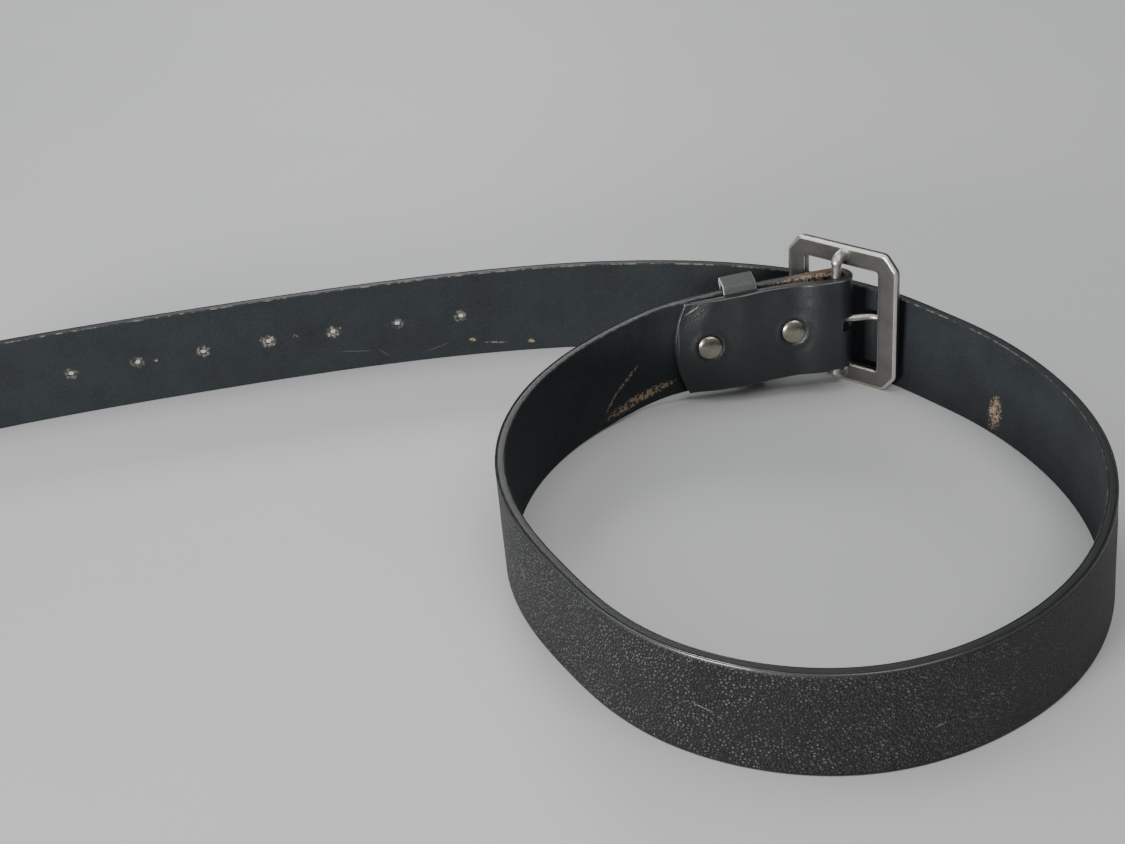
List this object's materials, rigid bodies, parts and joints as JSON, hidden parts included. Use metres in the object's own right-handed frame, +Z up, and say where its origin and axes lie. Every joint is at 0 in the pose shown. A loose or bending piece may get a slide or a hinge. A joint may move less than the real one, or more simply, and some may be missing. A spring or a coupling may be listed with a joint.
{
  "type": "leather belt",
  "caption": "Leather belt standing on edge in an open loop with a long free tail, centre-bar buckle and prong, sliding keeper, riveted turn-back and punched adjustment holes.",
  "frame": {"origin": "centre of the belt's plan outline, on the surface it stands on", "axes": "+X along the longest extent, from the free tail to the far side of the loop; +Y from the front bend to the far run; +Z up, across the strap's width"},
  "size_m": [0.4462, 0.2596, 0.0544],
  "materials": {
    "strap_leather": "semi-gloss black grain, matt blue-grey flesh side",
    "keeper_leather": "matt grey-green",
    "gunmetal": "satin gunmetal",
    "bright_steel": "polished",
    "antique_nickel": "antique satin"
  },
  "bodies": {
    "strap_body": {"strap": "strap_leather", "rivet_front_head": "antique_nickel", "rivet_front_cap": "antique_nickel", "rivet_rear_head": "antique_nickel", "rivet_rear_cap": "antique_nickel"},
    "buckle": {"buckle_frame": "gunmetal", "buckle_bar": "bright_steel"},
    "prong": {"buckle_prong": "bright_steel"},
    "keeper": {"keeper_loop": "keeper_leather"}
  },
  "joints": [
    {"name": "buckle_hinge", "type": "hinge", "parent": "strap_body", "child": "buckle", "pos_m": [0.1602, 0.077, 0.02675], "axis": [0, 0, 1], "range_deg": [-7, 3]},
    {"name": "prong_hinge", "type": "hinge", "parent": "buckle", "child": "prong", "pos_m": [0.1602, 0.077, 0.02675], "axis": [0, 0, 1], "range_deg": [-1, 3]},
    {"name": "keeper_slide", "type": "slide", "parent": "strap_body", "child": "keeper", "axis": [0.9943, 0.0504, 0.0941], "range_m": [-0.004, 0.005]}
  ]
}
